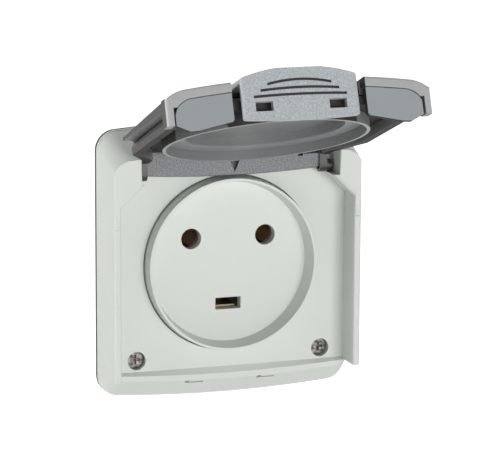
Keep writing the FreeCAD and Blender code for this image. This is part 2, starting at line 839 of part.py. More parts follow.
def lid_section(body, level, slope, half, low, side, shoulder):
    """A crowned cross-section of the lid with rounder shoulders, leaning by the roof's slope."""
    sketch = new_sketch(body, "XY_Plane", level)
    sketch.setExpression("AttachmentOffset.Rotation.Roll", bound(f"-({slope})"))
    draw_loop(sketch, [
        (f"-({half})", f"-({low})"),
        (f"-({half})", f"-({side})", "shoulder_sag"),
        ("-shoulder_x", f"-({shoulder})", "shell_end_crown"),
        ("shoulder_x", f"-({shoulder})", "shoulder_sag"),
        (half, f"-({side})"),
        (half, f"-({low})"),
    ])
    return sketch


def along_back(offset, depth):
    """The height of a line that lies parallel to the panel once the lid is open."""
    return f"(axis_height + ({offset}) - (({depth}) - axis_depth) * tan((open_angle - 90) * 1deg))"


def lid_shell():
    """The lid's outer cover, with its lips, corner legs, hinge wall and knuckles."""
    body = new_body("lid_shell")
    outer = lid_section(body, "-lid_end - end_trim", "shell_slope", LIP_HALF, "liner_edge",
                        "shell_end_side", "shell_end_shoulder")
    pad(body, outer, "lid_end + lid_back + end_trim")
    square_off(body, "lip_depth", "lid_end")
    hollow = lid_section(body, "liner_back + liner_gap", "hollow_slope", f"{LIP_HALF} - side_wall",
                         "liner_edge - 4", "hollow_side", "hollow_shoulder")
    pocket(body, hollow, "liner_back + liner_gap + lid_end + end_trim")
    lid_neck(body)
    lid_legs(body)
    hinge_wall(body)
    latch_slot(body)


def square_off(body, low, end):
    """Cut a leaning form flat at its lower edge and at its end."""
    front_pocket(body, box_corners(f"-{FAR}", FAR, f"-{FAR}", FAR), "0", low)
    front_pocket(body, box_corners(f"-{FAR}", FAR, f"-{FAR}", f"-({end})"), "0", FAR)


def lid_neck(body):
    """The lid gets narrower towards the hinge, past the end of its lips."""
    high = "rim_depth + 12"
    far = f"{LIP_HALF} + 2"
    for side in ("", "-"):
        corners = [
            (f"{side}({far})", "lip_back"),
            (f"{side}({LIP_HALF} - side_wall - 0.05)", "lip_back"),
            (f"{side}{LID_NECK}", "lid_neck_back"),
            (f"{side}{LID_NECK_TOP}", "lid_neck_back + 3"),
            (f"{side}{LID_NECK_TOP}", "lid_back + 3"),
            (f"{side}({far})", "lid_back + 3"),
        ]
        front_pocket(body, corners, "lip_depth - 2", high)
    side_pocket(body, [
        ("-axis_depth", "lid_back + 8"),
        ("-axis_depth", along_back("hinge_wall_back", "axis_depth")),
        ("-(rim_depth + 12)", along_back("hinge_wall_back", "rim_depth + 12")),
        ("-(rim_depth + 12)", "lid_back + 8"),
    ], f"-{LIP_HALF}", LIP_HALF)


def lid_legs(body):
    """The legs that come down outside the ends of the side rims."""
    for low, high in (("leg_in", "leg_out"), ("-leg_out", "-leg_in")):
        front_pad(body, box_corners(low, high, "-lid_end", "-leg_top"), "leg_depth",
                  "shell_end_side")


def hinge_wall(body):
    """The wall at the hinge, parallel to the panel once open, with a knuckle at each end."""
    edge = "axis_depth - hinge_wall_reach"
    top = "hinge_wall_top"
    corners = [
        (f"-({edge})", along_back("-hinge_wall_face", edge)),
        (f"-({edge})", along_back("-hinge_wall_face", f"{edge}") + " + 1"),
        ("-(axis_depth + 0.5)", along_back("hinge_wall_back", "axis_depth + 0.5")),
        (f"-({top})", along_back("hinge_wall_back", top)),
        (f"-({top})", along_back("-hinge_wall_face", top)),
    ]
    side_pad(body, corners, f"-{HINGE_WALL}", HINGE_WALL)
    hinge_wall_cuts(body)
    arm = [
        ("-axis_depth", "axis_height - knuckle_rad"),
        ("-axis_depth", along_back("hinge_wall_back", "axis_depth") + " - 0.5"),
        (f"-({top})", along_back("hinge_wall_back", top) + " - 0.1"),
        (f"-({top})", along_back("-hinge_wall_face", top) + " - 1"),
    ]
    left_end = f"({HINGE_LEFT} - knuckle_gap)"
    right_end = f"({HINGE_RIGHT} - knuckle_gap)"
    root = f"({HINGE_WALL} - 0.5)"
    side_pad(body, arm, f"-{left_end}", f"-{root}")
    side_pad(body, arm, root, left_end)
    for left, right in ((f"-{left_end}", f"-{root}"), (root, right_end)):
        rod_pad(body, "axis_depth", "axis_height", "knuckle_rad", left, right)
        rod_pocket(body, "axis_depth", "axis_height", "hinge_pin / 2 + hinge_play", left, right)


def hinge_wall_cuts(body):
    """The wall's bowed free edge, its pointed notch and the ledge near its right end."""
    edge = "axis_depth - hinge_wall_reach"
    side = f"({HINGE_WALL} + 1)"
    cuts = [
        ([(f"-{side}", f"-({edge} + hinge_wall_rise)", "-hinge_wall_rise"),
          (side, f"-({edge} + hinge_wall_rise)"),
          (side, f"-({edge} - 1)"),
          (f"-{side}", f"-({edge} - 1)")], "axis_height + 5"),
        ([("notch_place", "-notch_tip"),
          ("notch_place - notch_half", "-notch_top"),
          ("notch_place + notch_half", "-notch_top")], "notch_level"),
        (box_corners("ledge_start", f"{HINGE_WALL} + 3", "-rim_depth", "-ledge_depth"), "ledge_level"),
        (box_corners("ledge_start", "ledge_start + ledge_notch", "-rim_depth",
                     "-(ledge_depth - ledge_notch / 3)"), "notch_level"),
    ]
    for corners, level in cuts:
        sketch = new_sketch(body, "XY_Plane", level)
        draw_loop(sketch, corners)
        pocket(body, sketch, "12")


def latch_slot(body):
    """The slot that the latch lies in, with an ear on each side for its pin."""
    front_pocket(body, box_corners("-latch_slot_half", "latch_slot_half", "-lid_end - 2",
                                   "-latch_slot_top"),
                 "liner_edge", "rim_depth + 16")
    for left, right in (("latch_slot_half - 0.5", "latch_slot_half + latch_ear_wide"),
                        ("-latch_slot_half - latch_ear_wide", "-latch_slot_half + 0.5")):
        side_pad(body, box_corners("-(latch_axis_depth + 2)", "-(latch_axis_depth - 1.8)",
                                   "-latch_axis_drop - 1.8", "-latch_axis_drop + 1.8"),
                 left, right)
    rod_pocket(body, "latch_axis_depth", "-latch_axis_drop", "latch_pin / 2",
               "-latch_pin_half", "latch_pin_half")


def lid_liner():
    """The inner moulding: end faces, side walls, ceiling and the round rib."""
    body = new_body("lid_liner")
    block = lid_section(body, "liner_back", "hollow_slope", f"{LIP_HALF} - side_wall - liner_gap",
                        "liner_edge - 4", "hollow_side - liner_gap", "hollow_shoulder - liner_gap")
    pad(body, block, "liner_back + lid_end + end_trim").Reversed = True
    square_off(body, "liner_edge", "lid_end - end_inset")
    front_pocket(body, box_corners(f"-{FAR}", FAR, "liner_back", FAR), "0", FAR)
    liner_neck(body)
    liner_hollow(body)
    liner_end_faces(body)
    liner_ring(body)
    liner_latch_bay(body)


def liner_neck(body):
    """The liner follows the lid where it gets narrower."""
    far = f"{LIP_HALF} + 2"
    for side in ("", "-"):
        front_pocket(body, [
            (f"{side}({far})", "lip_back"),
            (f"{side}({LIP_HALF} - side_wall - liner_gap)", "lip_back"),
            (f"{side}({LID_NECK} - liner_gap)", "lid_neck_back"),
            (f"{side}({LID_NECK_TOP} - liner_gap)", "lid_neck_back + 3"),
            (f"{side}({LID_NECK_TOP} - liner_gap)", "liner_back + 3"),
            (f"{side}({far})", "liner_back + 3"),
        ], "liner_edge - 2", "rim_depth + 12")


def liner_hollow(body):
    """The hollow that leaves thin side walls."""
    inner = f"({LIP_HALF} - side_wall - liner_gap - liner_wall)"
    neck = f"({LID_NECK_TOP} - liner_gap - liner_wall)"
    front_pocket(body, [
        (f"-{inner}", "-(lid_end - end_inset - end_wall)"),
        (inner, "-(lid_end - end_inset - end_wall)"),
        (inner, "lip_back - 0.6"),
        (neck, "lid_neck_back - 0.8"),
        (neck, "liner_back + 1"),
        (f"-{neck}", "liner_back + 1"),
        (f"-{neck}", "lid_neck_back - 0.8"),
        (f"-{inner}", "lip_back - 0.6"),
    ], "liner_edge - 2", "liner_ceiling")


def liner_end_faces(body):
    """The end faces reach lower than the side walls, beside the latch."""
    back = "-(lid_end - end_inset - end_wall)"
    for side in ("", "-"):
        front = "-(lid_end - end_inset)"
        sketch = new_sketch(body, "XY_Plane", front)
        draw_loop(sketch, [
            (f"{side}(latch_slot_half + 0.3)", "-(liner_edge + 1)"),
            (f"{side}(latch_slot_half + 0.3)", "-end_edge_mid"),
            (f"{side}30.6", "-(end_edge_low + 0.2)"),
            (f"{side}33.5", "-end_edge_low"),
            (f"{side}({LIP_HALF} - side_wall - liner_gap)", "-end_edge_side"),
            (f"{side}({LIP_HALF} - side_wall - liner_gap)", "-(liner_edge + 1)"),
        ])
        pad(body, sketch, f"{back} - ({front})")


def liner_ring(body):
    """The round rib, the ledge inside it that carries the seal, and the well."""
    sketch = new_sketch(body, "XZ_Plane", "ring_edge")
    draw_circle(sketch, "0", "-ring_drop", "ring_rad + ring_wall")
    draw_circle(sketch, "0", "-ring_drop", "ring_rad")
    pad(body, sketch, "liner_ceiling - ring_edge + 0.2")
    sketch = new_sketch(body, "XZ_Plane", "well_depth")
    draw_circle(sketch, "0", "-ring_drop", "well_rad")
    feature = pocket(body, sketch, "well_depth - ring_edge")
    return feature


def liner_latch_bay(body):
    """The opening behind the latch, between the end faces."""
    front_pocket(body, box_corners("-latch_slot_half", "latch_slot_half", "-lid_end - 1",
                                   "-(latch_end - latch_plate - 1.9)"),
                 "ring_edge - 2", "rim_depth + 12")
    front_pocket(body, box_corners("-latch_slot_half - latch_ear_wide - 0.3",
                                   "latch_slot_half + latch_ear_wide + 0.3",
                                   "-lid_end + end_inset + end_wall", "-latch_slot_top - 1"),
                 "latch_axis_depth - 2.4", "rim_depth + 12")


def lid_seal():
    """The flat ring on the ledge inside the rib."""
    body = new_body("lid_seal")
    sketch = new_sketch(body, "XZ_Plane", "lid_seal_depth")
    draw_circle(sketch, "0", "-ring_drop", "ring_rad - lid_seal_gap")
    draw_circle(sketch, "0", "-ring_drop", "well_rad")
    pad(body, sketch, "liner_ceiling - lid_seal_depth")


def latch():
    """The pull at the lid's end: a plate with two windows, and a crowned tongue over the lid."""
    body = new_body("latch")
    sketch = new_sketch(body, "XY_Plane", "-latch_end")
    draw_loop(sketch, [
        ("-latch_half", "-(latch_side - latch_tongue_thick)"),
        ("-latch_half", "-latch_side", "latch_crown"),
        ("latch_half", "-latch_side"),
        ("latch_half", "-(latch_side - latch_tongue_thick)"),
    ])
    pad(body, sketch, "latch_end - latch_tongue_top")
    sketch = new_sketch(body, "XY_Plane", "-latch_end")
    draw_loop(sketch, [
        ("-latch_half", "-latch_edge", "-0.6"),
        ("latch_half", "-latch_edge"),
        ("latch_half", "-(latch_side - 0.5)"),
        ("-latch_half", "-(latch_side - 0.5)"),
    ])
    pad(body, sketch, "latch_plate")
    side_pocket(body, [
        ("-(latch_side + 0.2)", "-latch_tongue_top + 1"),
        ("-(latch_side + latch_crown - 0.4)", "-latch_end + 3"),
        ("-(latch_side + latch_crown - 0.4)", "-latch_end - 1"),
        ("-(latch_side + latch_crown + 2)", "-latch_end - 1"),
        ("-(latch_side + latch_crown + 2)", "-latch_tongue_top + 1"),
    ], "-latch_half - 1", "latch_half + 1")
    for side in ("", "-"):
        middle = f"{side}window_middle"
        sketch = new_sketch(body, "XY_Plane", "-latch_end + latch_plate + 1")
        draw_loop(sketch, box_corners(f"{middle} - window_wide / 2", f"{middle} + window_wide / 2",
                                      "-window_high", "-window_low"))
        pocket(body, sketch, "latch_plate + 2")
    side_pad(body, box_corners("-(latch_side - 1)", "-latch_axis_depth",
                               "-latch_axis_drop - 1.2", "-latch_axis_drop + 1.2"),
             "-latch_half + 3", "latch_half - 3")
    rod_pad(body, "latch_axis_depth", "-latch_axis_drop", "latch_knuckle_rad", "-latch_half + 3",
            "latch_half - 3")
    rod_pocket(body, "latch_axis_depth", "-latch_axis_drop", "latch_pin / 2 + latch_play",
               "-latch_half", "latch_half")
    latch_grooves(body)


def latch_grooves(body):
    """Three grip grooves across the plate, each lower one longer and flatter."""
    for index in range(3):
        half = f"(groove_top_half + {index} * groove_grow)"
        depth = f"(groove_top - {index} * groove_step)"
        bow = f"(groove_top_bow / {index + 1})"
        sketch = new_sketch(body, "XY_Plane", "-latch_end + groove_deep")
        draw_loop(sketch, [
            (f"-{half}", f"-({depth})", bow),
            (half, f"-({depth})"),
            (half, f"-({depth} - groove_wide)", f"-{bow}"),
            (f"-{half}", f"-({depth} - groove_wide)"),
        ])
        pocket(body, sketch, "groove_deep + 1")



def latch_pin():
    """The steel pin that the latch turns on."""
    body = new_body("latch_pin")
    rod_pad(body, "latch_axis_depth", "-latch_axis_drop", "latch_pin / 2", "-latch_pin_half",
            "latch_pin_half")


PIECES = [wall_gasket, housing, hinge_pins, face_seal, socket_face, carrier, cover_screws,
          contact_block, earth_contact, terminal_screws, back_cover, block_screws,
          lid_shell, lid_liner, lid_seal, latch, latch_pin]
LID_PIECES = ["lid_shell", "lid_liner", "lid_seal", "latch", "latch_pin"]

for make in PIECES:
    make()
hinge_holes(doc.getObject("housing"))
pin_contact("live_contact", "-")
pin_contact("neutral_contact", "")
for label, (across, up) in zip(["neutral_terminal", "live_terminal", "earth_terminal"],
                               TERMINAL_PLACES):
    terminal(label, across, up)

hinge_place = Vector(0, -value("axis_depth"), value("axis_height"))
opened = Placement(Vector(0, 0, 0), Rotation(Vector(1, 0, 0), -value("open_angle")), hinge_place)
for label in LID_PIECES:
    doc.getObject(label).Placement = opened
doc.recompute()

for item in doc.Objects:
    if "Invalid" in item.State or "Error" in item.State:
        raise ValueError(f"{item.Label} failed: {item.State}")
for body in nodes:
    if body.Shape.isNull() or not body.Shape.isValid() or not body.Shape.Solids:
        raise ValueError(f"{body.Label} has no valid shape")

os.makedirs("parts", exist_ok=True)
for body in nodes:
    body.Shape.exportStep(f"parts/{body.Label}.step")
    print(body.Label, len(body.Shape.Solids), round(body.Shape.Volume))
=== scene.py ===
"""An outdoor weatherproof socket with its lid open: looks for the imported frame.

Lengths are in millimetres where a name or comment doesn't say metres. Every point and normal is
given at rest, with the lid open.
"""

import json
import math

import bmesh
import bpy
from mathutils import Matrix, Vector


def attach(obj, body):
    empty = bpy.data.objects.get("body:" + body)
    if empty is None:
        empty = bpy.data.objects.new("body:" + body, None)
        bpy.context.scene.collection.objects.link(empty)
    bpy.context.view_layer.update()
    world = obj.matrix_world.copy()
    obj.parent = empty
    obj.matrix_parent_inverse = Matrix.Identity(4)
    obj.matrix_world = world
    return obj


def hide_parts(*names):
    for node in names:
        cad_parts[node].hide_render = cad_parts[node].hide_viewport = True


MM = 0.001

# The lid's angle at rest from closed, and the ways that its free end and its inside look
LID_ANGLE = math.radians(110.4)
LID_END = Vector((0, -math.sin(LID_ANGLE), -math.cos(LID_ANGLE)))
LID_INSIDE = Vector((0, math.cos(LID_ANGLE), -math.sin(LID_ANGLE)))

# The camera, fitted to the photograph: angles in degrees, clip start in metres
VIEW_YAW = 18.755
VIEW_RISE = 11.29
VIEW_ROLL = 0.275
VIEW_DISTANCE = 904.1
VIEW_TARGET = (8.8, -2.76, 8.7)
VIEW_LENS = 208.8
SENSOR_WIDTH = 36.0
CLIP_START = 0.01

# The lamps: place in metres, width in metres and power in watts. All point at LAMP_AIM
LAMPS = {
    "key": ((0.2, -1.1, -0.15), 0.6, 13.0),
    "side": ((-1.1, 0.0, 0.3), 0.12, 5.6),
}
LAMP_AIM = (0, -0.02, 0.01)
WHITE = (1, 1, 1, 1)
SOFT_LIGHT = 0.24

# The floor, in metres: it glows a little, and more where the camera sees it
FLOOR_COLOUR = (0.8, 0.8, 0.8, 1)
FLOOR_ROUGHNESS = 0.9
FLOOR_GLOW = 0.3
FLOOR_SEEN = 0.7
FLOOR_LEVEL = -0.11
FLOOR_HALF = 3.0

# Where a ramp over a noise starts and ends, and the steps of the ramp over a grain
NOISE_LOW = 0.3
NOISE_HIGH = 0.7
GRAIN_DARK = 0.34
GRAIN_MIDDLE = 0.5
GRAIN_LIGHT = 0.68

# The sizes of the spots, and the relief where a look's own table doesn't give it
CLOUD_SIZE = 14.0
METAL_SPOT = 1.2
METAL_RELIEF = 0.02
RUBBER_SPOT = 0.7
RUBBER_RELIEF = 0.03

# Shades as factors of a look's colour or roughness
# The grain's light specks reach this much further from the colour than its dark ones: painted
# glints
PAINTED_GLINT = 1.6
# How much lighter the painted edge highlight is than the faces, on moulded and on grained plastic
EDGE_HIGHLIGHT_SHADE = 1.25
GRAIN_EDGE_HIGHLIGHT_SHADE = 1.3
SMOOTH_SPOT = 0.8
ROUGH_SPOT = 1.3
RUBBER_DARK = 0.8
RUBBER_LIGHT = 1.15
RUBBER_ROUGHNESS = 0.75

# The curvature at which an edge begins to get its painted highlight, and at which it has it fully
EDGE_START = 0.5
EDGE_FULL = 0.56


def shade(colour, factor):
    """The same colour, lighter or darker."""
    return tuple(channel * factor for channel in colour)


PALE = (0.69, 0.725, 0.68)
GREY = (0.30, 0.32, 0.335)

# Moulded plastics: colour, roughness, size of spots, spread of shade, relief, painted edge
# highlight, shine
MOULDED = {
    "pale_plastic": (PALE, 0.42, 0.5, 0.012, 0.004, 0.0, 0.5),
    "face_plastic": (shade(PALE, 1.01), 0.38, 0.6, 0.01, 0.003, 0.0, 0.5),
    # Painted shade in the latch's grip grooves and on the walls of the slot that it lies in
    "groove_dark": ((0.035, 0.032, 0.03), 0.6, 0.4, 0.1, 0.01, 0.0, 0.5),
    # Painted shade on the lid's ceiling outside the round rib, darker and browner than the rest
    # of the liner
    "ceiling_brown": ((0.03, 0.026, 0.022), 0.5, 0.4, 0.1, 0.01, 0.0, 0.2),
    # Painted light: the lid shell's end faces and its rounded corners and end edge, lighter than
    # the rest of the shell
    "shell_end_grey": ((0.44, 0.45, 0.45), 0.36, 0.4, 0.03, 0.006, 0.2, 0.5),
    # Painted shade on the sides of the lid shell and on the liner's side walls
    "side_grey": ((0.062, 0.06, 0.054), 0.4, 0.35, 0.06, 0.01, 0.5, 0.35),
    # Painted light on the liner's end faces, lighter than the rest of the liner
    "end_grey": ((0.33, 0.355, 0.375), 0.4, 0.4, 0.03, 0.006, 0.2, 0.5),
    "inner_grey": ((0.205, 0.215, 0.215), 0.3, 0.35, 0.06, 0.006, 0.3, 0.5),
    # Painted shade on the hinge knuckles
    "knuckle_grey": ((0.035, 0.033, 0.029), 0.4, 0.4, 0.1, 0.01, 0.3, 0.5),
    # Painted highlight on the flat edges of the round ribs of the liner and the seal
    "rib_edge_grey": ((0.36, 0.36, 0.35), 0.3, 0.4, 0.03, 0.004, 0.0, 0.5),
    "seal_grey": ((0.26, 0.27, 0.275), 0.3, 0.5, 0.04, 0.003, 0.0, 0.5),
    # Painted shade in the notches of the housing's catches below the sill
    "catch_grey": ((0.34, 0.345, 0.32), 0.5, 0.4, 0.05, 0.004, 0.0, 0.5),
    "dark_plastic": ((0.055, 0.05, 0.045), 0.5, 0.4, 0.1, 0.02, 0.0, 0.5),
}

# Grained plastics: colour, roughness, size of grain, relief, strength of speckle, painted edge
# highlight
GRAINED = {
    # The lid shell's hinge wall: its grain is its own, its darkness beside the rest of the shell
    # is painted shade
    "grained_grey": (shade(GREY, 0.55), 0.4, 0.42, 0.07, 0.6, 0.3),
    "outer_grey": (shade(GREY, 0.9), 0.4, 0.4, 0.05, 0.35, 0.3),
    "latch_grey": (shade(GREY, 1.45), 0.34, 0.4, 0.06, 0.32, 0.3),
}

# Metals: colour, roughness, spread of shade
METALS = {
    # The steel's wide spread of dark and light spots is painted reflection
    "steel": ((0.5, 0.48, 0.46), 0.16, 0.9),
    "plate_steel": ((0.5, 0.51, 0.52), 0.38, 0.15),
    "brass": ((0.34, 0.26, 0.15), 0.42, 0.4),
}

RUBBERS = {"gasket_rubber": ((0.05, 0.052, 0.05),)}

# The look of each node and the width of the small rounding of its edges
FINISHES = {
    "housing": ("pale_plastic", 0.4),
    "socket_face": ("face_plastic", 0.25),
    "wall_gasket": ("gasket_rubber", 0.3),
    "face_seal": ("gasket_rubber", 0.1),
    "lid_shell": ("outer_grey", 0.35),
    "lid_liner": ("inner_grey", 0.3),
    "lid_seal": ("seal_grey", 0.15),
    "latch": ("latch_grey", 0.35),
    "latch_pin": ("steel", 0.1),
    "hinge_pins": ("steel", 0.15),
    "cover_screws": ("steel", 0.15),
    "block_screws": ("steel", 0.15),
    "terminal_screws": ("steel", 0.1),
    "carrier": ("plate_steel", 0.1),
    "contact_block": ("dark_plastic", 0.2),
    "back_cover": ("dark_plastic", 0.2),
    "live_contact": ("brass", 0.1),
    "neutral_contact": ("brass", 0.1),
    "earth_contact": ("brass", 0.1),
    "live_terminal": ("brass", 0.2),
    "neutral_terminal": ("brass", 0.2),
    "earth_terminal": ("brass", 0.2),
}

# How far a normal has to agree with a direction, as a cosine
STRAIGHT = 0.99
ALONG = 0.9
MOSTLY = 0.7
PARTLY = 0.5
A_LITTLE = 0.3

# Where the lid's parts begin and end: depths from the wall, and distances from the middle
LID_END_START = 70.0
HINGE_WALL_END = 20.5
SLOT_REACH = 25.0
SLOT_INSIDE = 20.0
SLOT_START = 60.0
CEILING_START = 15.0
RIB_EDGE_AREA = 300.0
RIB_START = 22.0
KNUCKLE_START = 28.0
FLANK_START = 30.0

# The latch's grip grooves, with heights along LID_END, and the housing's catches
GROOVE_FLOOR = 89.0
GROOVE_TOP = 89.7
GROOVE_REACH = 14.0
CATCH_REACH = 15.5
CATCH_LOW = -37.5
CATCH_HIGH = -36.3

# The wide roundings of the frame's front, the lid's end and the latch
RIM_DEPTH = 18.9
RIM_SLACK = 0.05
RIM_OUTSIDE = 38.8
RIM_ROUND = 0.6
RIM_INNER_ROUND = 0.45
GUSSET_BEVEL = 1.6
LEG_MIDDLE = 39.0
LID_CORNER_ROUND = 1.2
LID_TOP_ROUND = 0.8
LATCH_SIDE = 17.5
LATCH_ROUND = 0.9

# The left edge of the liner's end: where it is, where it goes, and how far its shoulder rises
LINER_CORNER = 37.1
LINER_REACH = 37.5
LINER_SHOULDER = 57.0
SHOULDER_LIFT = 1.2

# Which points and faces are merged, and how edges are rounded
WELD_DISTANCE = 0.002
MERGE_ANGLE = math.radians(0.1)
SHARP_ANGLE = math.radians(32)
WIDE_SEGMENTS = 4
SEGMENTS = 3

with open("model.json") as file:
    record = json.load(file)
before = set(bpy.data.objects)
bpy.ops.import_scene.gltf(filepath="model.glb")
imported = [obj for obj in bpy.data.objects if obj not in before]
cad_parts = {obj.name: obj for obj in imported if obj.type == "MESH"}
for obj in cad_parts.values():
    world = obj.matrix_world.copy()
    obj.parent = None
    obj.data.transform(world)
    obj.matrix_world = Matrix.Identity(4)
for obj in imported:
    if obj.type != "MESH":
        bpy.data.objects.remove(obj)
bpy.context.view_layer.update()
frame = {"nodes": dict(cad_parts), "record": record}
nodes = frame["nodes"]
body_of_node = {name: body for body, names in frame["record"]["behaviour"]["bodies"].items()
                for name in names}


def new_material(name):
    """An empty node material with its shader."""
    material = bpy.data.materials.new(name)
    material.use_nodes = True
    tree = material.node_tree
    tree.nodes.clear()
    shader = tree.nodes.new("ShaderNodeBsdfPrincipled")
    output = tree.nodes.new("ShaderNodeOutputMaterial")
    tree.links.new(shader.outputs["BSDF"], output.inputs["Surface"])
    return material, tree, shader


def noise(tree, size_mm, detail, roughness=0.5):
    """A noise texture in object space, with spots of about the given size."""
    place = tree.nodes.new("ShaderNodeTexCoord")
    texture = tree.nodes.new("ShaderNodeTexNoise")
    texture.inputs["Scale"].default_value = 1 / (size_mm * MM)
    texture.inputs["Detail"].default_value = detail
    texture.inputs["Roughness"].default_value = roughness
    tree.links.new(place.outputs["Object"], texture.inputs["Vector"])
    return texture.outputs["Fac"]


def ramp(tree, source, stops):
    """A colour ramp over a value. A stop is (place, colour)."""
    node = tree.nodes.new("ShaderNodeValToRGB")
    elements = node.color_ramp.elements
    for index, (place, colour) in enumerate(stops):
        element = elements[index] if index < 2 else elements.new(place)
        element.position = place
        element.color = (*colour, 1)
    tree.links.new(source, node.inputs["Fac"])
    return node.outputs["Color"]


def bump(tree, shader, height, depth_mm):
    """Relief of the given depth on the shader's normal."""
    node = tree.nodes.new("ShaderNodeBump")
    node.inputs["Distance"].default_value = depth_mm * MM
    tree.links.new(height, node.inputs["Height"])
    tree.links.new(node.outputs["Normal"], shader.inputs["Normal"])


def paint_edge_highlight(tree, colour, shader, light, strength):
    """Edges a little lighter than the faces, from the surface's own curvature: a painted
    highlight along them.
    """
    geometry = tree.nodes.new("ShaderNodeNewGeometry")
    edges = ramp(tree, geometry.outputs["Pointiness"],
                 [(EDGE_START, (0, 0, 0)), (EDGE_FULL, (1, 1, 1))])
    amount = tree.nodes.new("ShaderNodeMath")
    amount.operation = "MULTIPLY"
    amount.inputs[1].default_value = strength
    tree.links.new(edges, amount.inputs[0])
    mix = tree.nodes.new("ShaderNodeMix")
    mix.data_type = "RGBA"
    tree.links.new(amount.outputs[0], mix.inputs["Factor"])
    tree.links.new(colour, mix.inputs["A"])
    mix.inputs["B"].default_value = (*light, 1)
    tree.links.new(mix.outputs["Result"], shader.inputs["Base Color"])


def moulded_plastic(name, colour, roughness, spot_mm, spread, relief_mm, edge, shine):
    """Moulded plastic: faint clouding of the colour and a fine surface."""
    material, tree, shader = new_material(name)
    tint = ramp(tree, noise(tree, CLOUD_SIZE, 3.0),
                [(NOISE_LOW, shade(colour, 1 - spread)), (NOISE_HIGH, shade(colour, 1 + spread))])
    paint_edge_highlight(tree, tint, shader, shade(colour, EDGE_HIGHLIGHT_SHADE), edge)
    shader.inputs["Roughness"].default_value = roughness
    shader.inputs["Specular IOR Level"].default_value = shine
    bump(tree, shader, noise(tree, spot_mm, 2.0, 0.6), relief_mm)
    return material


def grained_plastic(name, colour, roughness, grain_mm, relief_mm, speckle, edge):
    """Spark-eroded plastic: a hard grain in relief and in tone, its lighter specks brightened as
    painted glints.
    """
    material, tree, shader = new_material(name)
    grain = noise(tree, grain_mm, 3.0, 0.65)
    tint = ramp(tree, grain, [(GRAIN_DARK, shade(colour, 1 - speckle)), (GRAIN_MIDDLE, colour),
                              (GRAIN_LIGHT, shade(colour, 1 + PAINTED_GLINT * speckle))])
    paint_edge_highlight(tree, tint, shader, shade(colour, GRAIN_EDGE_HIGHLIGHT_SHADE), edge)
    shader.inputs["Roughness"].default_value = roughness
    bump(tree, shader, grain, relief_mm)
    return material


def metal(name, colour, roughness, spread):
    """Plated or plain metal with a little unevenness, which on the steel is wide enough to be
    painted reflection.
    """
    material, tree, shader = new_material(name)
    spots = noise(tree, METAL_SPOT, 4.0)
    tint = ramp(tree, spots, [(NOISE_LOW, shade(colour, 1 - spread)), (NOISE_HIGH, colour)])
    tree.links.new(tint, shader.inputs["Base Color"])
    shader.inputs["Metallic"].default_value = 1.0
    rough = ramp(tree, spots, [(NOISE_LOW, (roughness * SMOOTH_SPOT,) * 3),
                               (NOISE_HIGH, (roughness * ROUGH_SPOT,) * 3)])
    tree.links.new(rough, shader.inputs["Roughness"])
    bump(tree, shader, spots, METAL_RELIEF)
    return material


def rubber(name, colour):
    """Matt rubber."""
    material, tree, shader = new_material(name)
    spots = noise(tree, RUBBER_SPOT, 3.0)
    tint = ramp(tree, spots, [(NOISE_LOW, shade(colour, RUBBER_DARK)),
                              (NOISE_HIGH, shade(colour, RUBBER_LIGHT))])
    tree.links.new(tint, shader.inputs["Base Color"])
    shader.inputs["Roughness"].default_value = RUBBER_ROUGHNESS
    bump(tree, shader, spots, RUBBER_RELIEF)
    return material


looks = {}
for make, table in ((moulded_plastic, MOULDED), (grained_plastic, GRAINED), (metal, METALS),
                    (rubber, RUBBERS)):
    for look_name, values in table.items():
        looks[look_name] = make(look_name, *values)


def centre_of(face):
    """The middle of a face's points."""
    return face.calc_center_median() / MM


def is_lid_end(face):
    """Whether a face of the lid lies at its free end and looks the way that the end does."""
    return face.normal.dot(LID_END) > ALONG and centre_of(face).y < -LID_END_START


def is_hinge_wall(face):
    """Whether a face of the lid belongs to the wall at the hinge."""
    return centre_of(face).y > -HINGE_WALL_END


def is_knuckle(face):
    """Whether a face belongs to a hinge knuckle."""
    return is_hinge_wall(face) and abs(centre_of(face).x) > KNUCKLE_START


def is_slot_wall(face):
    """Whether a face lines the slot that the latch lies in."""
    centre = centre_of(face)
    beside = abs(face.normal.x) > ALONG and abs(centre.x) < SLOT_REACH
    behind = abs(centre.x) < SLOT_INSIDE and face.normal.dot(LID_END) > PARTLY
    return (beside or behind) and centre.y < -SLOT_START


def is_ceiling(face):
    """Whether a face is the lid's ceiling outside the round rib."""
    return face.normal.dot(LID_INSIDE) > ALONG and abs(centre_of(face).x) > CEILING_START


def is_side(face):
    """Whether a face looks out of the lid's side."""
    return abs(face.normal.x) > MOSTLY and face.normal.x * centre_of(face).x > 0


def is_flank(face):
    """Whether a face is one of the liner's side walls."""
    return is_side(face) and abs(centre_of(face).x) > FLANK_START


def is_rib_edge(face):
    """Whether a face is the flat edge of a round rib."""
    small = face.calc_area() < RIB_EDGE_AREA * MM * MM
    return face.normal.dot(LID_INSIDE) > ALONG and small and centre_of(face).y < -RIB_START


def is_groove(face):
    """Whether a face of the latch is a floor or a wall of its grip grooves."""
    centre = centre_of(face)
    return GROOVE_FLOOR < centre.dot(LID_END) < GROOVE_TOP and abs(centre.x) < GROOVE_REACH


def is_catch(face):
    """Whether a face of the housing lines a notch of the catches below the sill."""
    centre = centre_of(face)
    straight = max(abs(face.normal.x), -face.normal.y, abs(face.normal.z)) > STRAIGHT
    return straight and abs(centre.x) < CATCH_REACH and CATCH_LOW < centre.z < CATCH_HIGH


